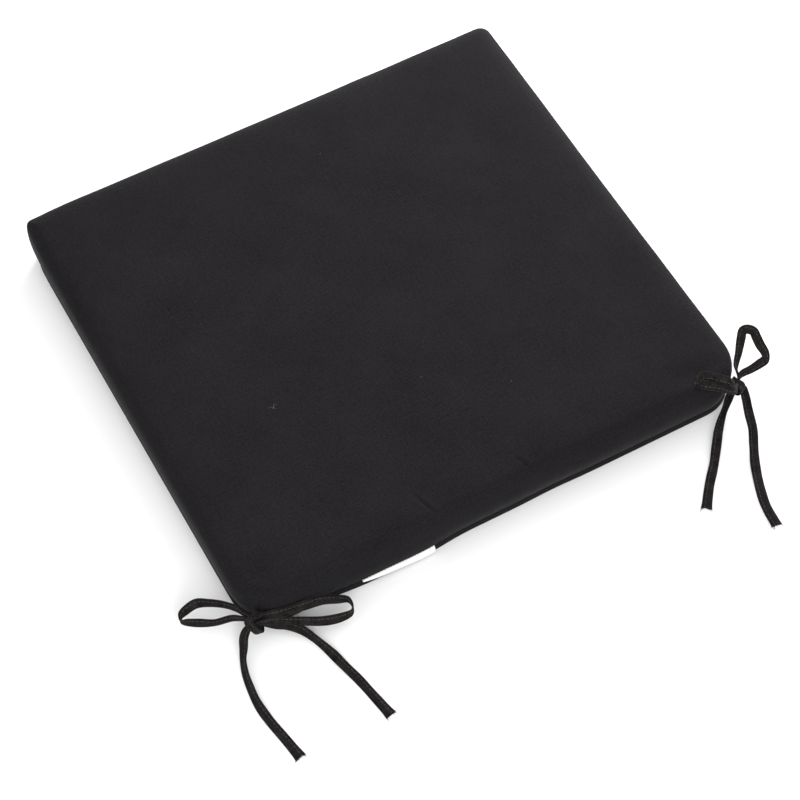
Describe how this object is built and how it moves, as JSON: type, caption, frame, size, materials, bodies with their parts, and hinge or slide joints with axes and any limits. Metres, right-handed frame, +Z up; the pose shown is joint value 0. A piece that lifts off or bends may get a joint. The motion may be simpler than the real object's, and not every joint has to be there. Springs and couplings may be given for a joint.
{
  "type": "chair seat pad",
  "caption": "Square padded seat cushion with a box-edged fabric cover, rounded corners and strap ties knotted in bows at its rear corners.",
  "frame": {"origin": "under the middle of the pad, on the surface it lies on", "axes": "+X along the rear edge from the left bow to the right bow, +Y from the rear edge to the front edge, +Z up through the thickness"},
  "size_m": [0.595, 0.614, 0.0593],
  "materials": {
    "cover": "plain woven, matt, near-black",
    "tie": "folded and stitched strip of the cover cloth",
    "thread": "dark grey sewing thread",
    "foam": "open-cell foam",
    "wadding": "fibre wadding",
    "label": "smooth woven label, blank"
  },
  "bodies": {
    "pad": {"top_panel": "cover", "bottom_panel": "cover", "seam_thread": "thread", "top_wadding": "wadding", "foam_core": "foam", "bottom_wadding": "wadding", "left_tack": "thread", "right_tack": "thread"},
    "left_bow": {"left_tie_a": "tie", "left_tie_b": "tie"},
    "right_bow": {"right_tie_a": "tie", "right_tie_b": "tie"},
    "label": {"care_label": "label"}
  },
  "joints": [
    {"name": "left_bow_swing", "type": "hinge", "parent": "pad", "child": "left_bow", "pos_m": [-0.24267, -0.23388, 0.03], "axis": [0, 0, 1], "range_deg": [-20, 5]},
    {"name": "right_bow_swing", "type": "hinge", "parent": "pad", "child": "right_bow", "pos_m": [0.24267, -0.23388, 0.036], "axis": [0, 0, 1], "range_deg": [-15, 12]},
    {"name": "label_flap", "type": "hinge", "parent": "pad", "child": "label", "pos_m": [-0.109, -0.242, 0.0085], "axis": [-1, 0, 0], "range_deg": [0, 80]}
  ]
}
